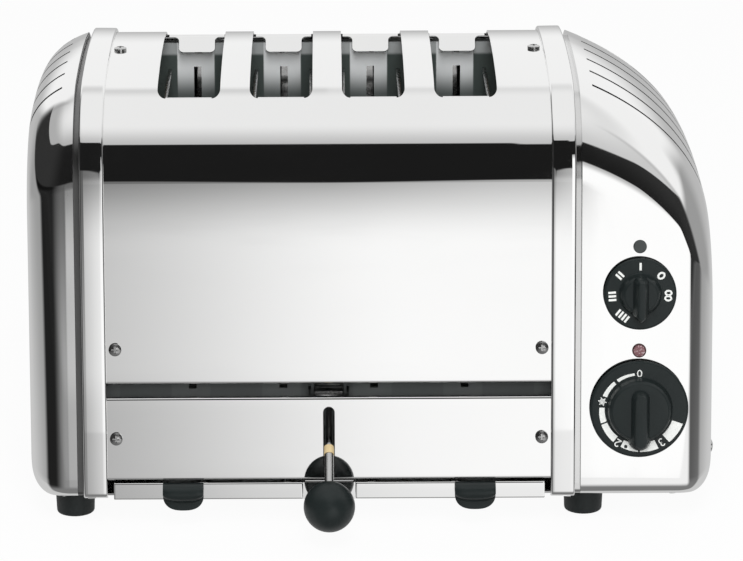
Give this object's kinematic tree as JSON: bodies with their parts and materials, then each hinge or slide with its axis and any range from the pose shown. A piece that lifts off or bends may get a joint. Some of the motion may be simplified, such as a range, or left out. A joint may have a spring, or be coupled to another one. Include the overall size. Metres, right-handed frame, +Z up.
{
  "type": "toaster",
  "caption": "Bread toaster with a polished folded-sheet body between raised rims, domed slit end covers, timer and slot dials, a ball-ended ejector lever and pull-out crumb trays.",
  "frame": {"origin": "on the table under the middle of the whole object, rims and lever ball included", "axes": "+X along the body towards the control end, +Y to the back, +Z up; the lever and controls face -Y"},
  "size_m": [0.3447, 0.2702, 0.2212],
  "materials": {
    "polished_steel": "stainless sheet polished to a mirror, with faint wipe marks",
    "polished_aluminium": "polished bright, a little softer than the sheet",
    "plated_steel": "dull zinc-plated sheet and rod",
    "screw_steel": "plated pan-head screws with cross recesses",
    "guard_wire": "drawn wire, dulled by heat",
    "mica": "pressed mica sheet, flaky and matt",
    "resistance_ribbon": "oxidised resistance ribbon",
    "black_plastic": "near-black moulding with a satin gloss",
    "grey_plastic": "dark grey moulding",
    "red_lens": "dusty red ribbed lens",
    "pale_bush": "pale yellow heat-proof sleeve",
    "black_rubber": "moulded black rubber"
  },
  "bodies": {
    "frame": {"body_shell": "polished_steel", "front_panel": "polished_steel", "rear_panel": "polished_steel", "left_end_frame": "polished_aluminium", "right_end_frame": "polished_aluminium", "left_end_cover": "polished_aluminium", "right_end_cover": "polished_aluminium", "left_base_plate": "plated_steel", "right_base_plate": "plated_steel", "feet": "black_rubber", "foot_screws": "screw_steel", "shell_screws": "screw_steel", "panel_screws": "screw_steel", "end_screws": "screw_steel", "base_screws": "screw_steel", "front_guide_plate": "plated_steel", "rear_guide_plate": "plated_steel", "mica_board_1": "mica", "mica_board_2": "mica", "mica_board_3": "mica", "mica_board_4": "mica", "mica_board_5": "mica", "heating_ribbon_1": "resistance_ribbon", "heating_ribbon_2": "resistance_ribbon", "heating_ribbon_3": "resistance_ribbon", "heating_ribbon_4": "resistance_ribbon", "heating_ribbon_5": "resistance_ribbon", "bread_guard_1": "guard_wire", "bread_guard_2": "guard_wire", "bread_guard_3": "guard_wire", "bread_guard_4": "guard_wire", "left_tray_runner": "plated_steel", "right_tray_runner": "plated_steel", "centre_tray_rail": "polished_steel", "lever_bracket": "plated_steel", "lever_pivot_pin": "plated_steel", "timer_unit": "grey_plastic", "selector_switch": "grey_plastic", "lamp_lens": "red_lens", "lamp_holder": "grey_plastic", "index_plug": "grey_plastic", "cord_gland": "black_plastic"},
    "lever": {"ejector_lever": "plated_steel", "lever_collar": "pale_bush", "lever_ball": "black_plastic"},
    "carriage": {"lift_carriage": "plated_steel", "bread_rack_1": "plated_steel", "bread_rack_2": "plated_steel", "bread_rack_3": "plated_steel", "bread_rack_4": "plated_steel"},
    "timer": {"timer_knob": "black_plastic", "timer_shaft": "plated_steel"},
    "selector": {"selector_knob": "black_plastic", "selector_shaft": "plated_steel"},
    "left_tray": {"left_crumb_tray": "polished_steel", "left_tray_pull": "black_plastic"},
    "right_tray": {"right_crumb_tray": "polished_steel", "right_tray_pull": "black_plastic"}
  },
  "joints": [
    {"name": "lever_swing", "type": "hinge", "parent": "frame", "child": "lever", "pos_m": [-0.02212, -0.06061, 0.0596], "axis": [-1, 0, 0], "range_deg": [0, 29.5]},
    {"name": "carriage_lift", "type": "slide", "parent": "frame", "child": "carriage", "axis": [0, 0, 1], "range_m": [-0.04217, 0]},
    {"name": "timer_turn", "type": "hinge", "parent": "frame", "child": "timer", "pos_m": [0.13237, -0.08853, 0.06046], "axis": [0, 0.9925, -0.1219], "range_deg": [0, 255]},
    {"name": "selector_turn", "type": "hinge", "parent": "frame", "child": "selector", "pos_m": [0.13237, -0.08143, 0.11822], "axis": [0, 0.9925, -0.1219], "range_deg": [-90, 142]},
    {"name": "left_tray_slide", "type": "slide", "parent": "frame", "child": "left_tray", "axis": [0, -1, 0], "range_m": [0, 0.19]},
    {"name": "right_tray_slide", "type": "slide", "parent": "frame", "child": "right_tray", "axis": [0, -1, 0], "range_m": [0, 0.19]}
  ],
  "couplings": [
    {"joint": "carriage_lift", "follows": "lever_swing", "m_per_rad": -0.081815}
  ]
}
